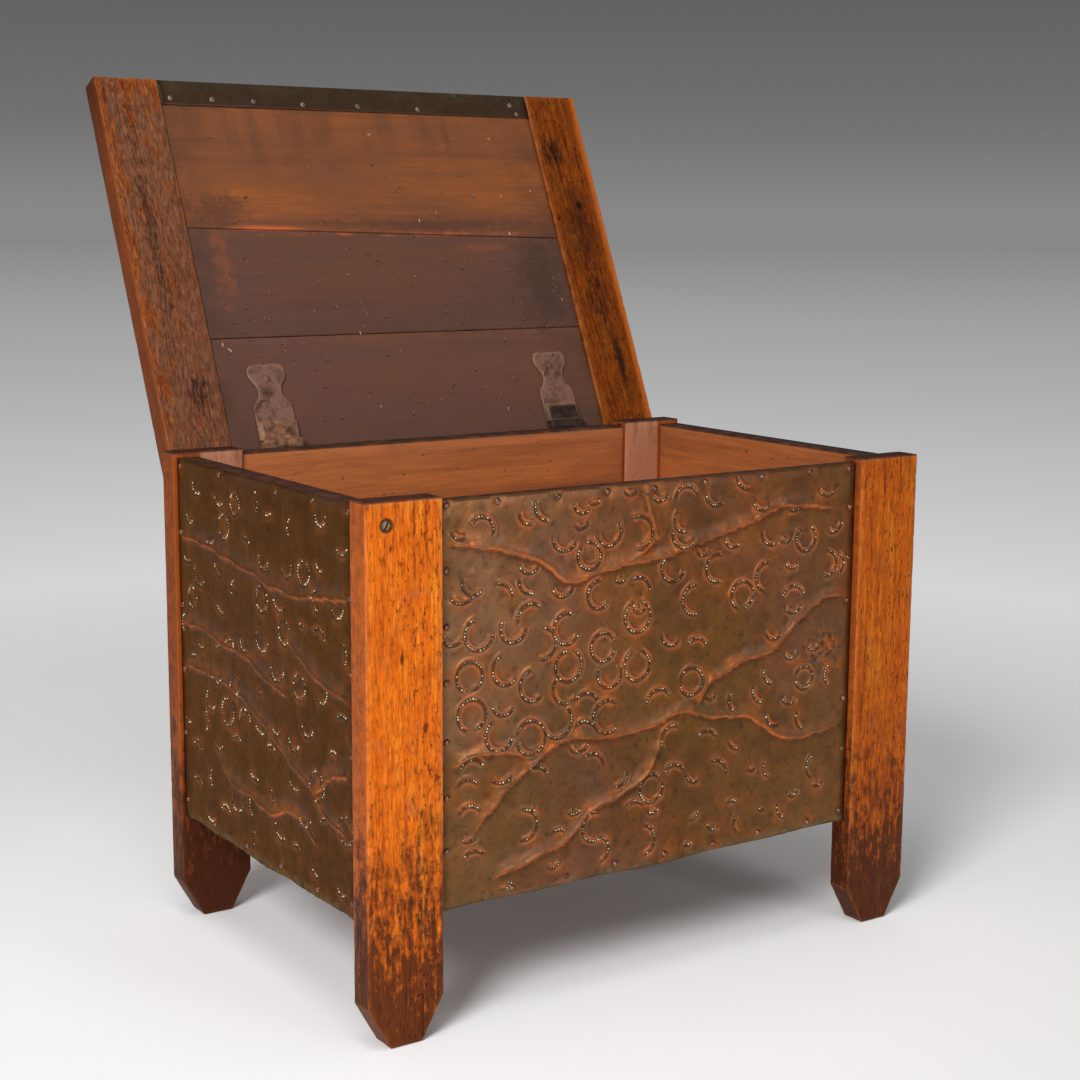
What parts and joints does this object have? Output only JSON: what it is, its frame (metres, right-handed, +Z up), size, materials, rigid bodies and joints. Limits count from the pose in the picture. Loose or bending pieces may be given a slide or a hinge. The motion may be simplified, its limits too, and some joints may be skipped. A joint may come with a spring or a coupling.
{
  "type": "coal bin",
  "caption": "Low oak chest on plank legs, walls faced with hammered copper, with a lid that swings back on two strap hinges and rests open.",
  "frame": {"origin": "on the floor, under the middle of the whole part with its lid open", "axes": "+Z up, the front of the bin faces -Y, +X to the right as seen from the front"},
  "size_m": [0.616, 0.6022, 0.8343],
  "materials": {
    "oak": "varnished, worn oak",
    "softwood": "stained softwood, dull",
    "copper": "hammered copper with a dark patina",
    "iron": "rusted wrought iron"
  },
  "bodies": {
    "box": {"post_front_left": "oak", "post_front_right": "oak", "post_back_left": "oak", "post_back_right": "oak", "front_board_lower": "softwood", "front_board_upper": "softwood", "back_board_lower": "softwood", "back_board_upper": "softwood", "left_board_lower": "softwood", "left_board_upper": "softwood", "right_board_lower": "softwood", "right_board_upper": "softwood", "floor_cleat_left": "softwood", "floor_cleat_right": "softwood", "floor_board_front": "softwood", "floor_board_middle": "softwood", "floor_board_back": "softwood", "copper_front": "copper", "copper_left": "copper", "copper_right": "copper", "hinge_leaf_box_left": "iron", "hinge_leaf_box_right": "iron", "hinge_pin_left": "iron", "hinge_pin_right": "iron"},
    "lid": {"lid_rail_left": "oak", "lid_rail_right": "oak", "lid_board_back": "softwood", "lid_board_middle": "softwood", "lid_board_front": "softwood", "copper_lid": "copper", "hinge_leaf_lid_left": "iron", "hinge_leaf_lid_right": "iron"}
  },
  "joints": [
    {"name": "lid_hinge", "type": "hinge", "parent": "box", "child": "lid", "pos_m": [0, 0.10866, 0.4675], "axis": [1, 0, 0], "range_deg": [0, 114.3]}
  ]
}
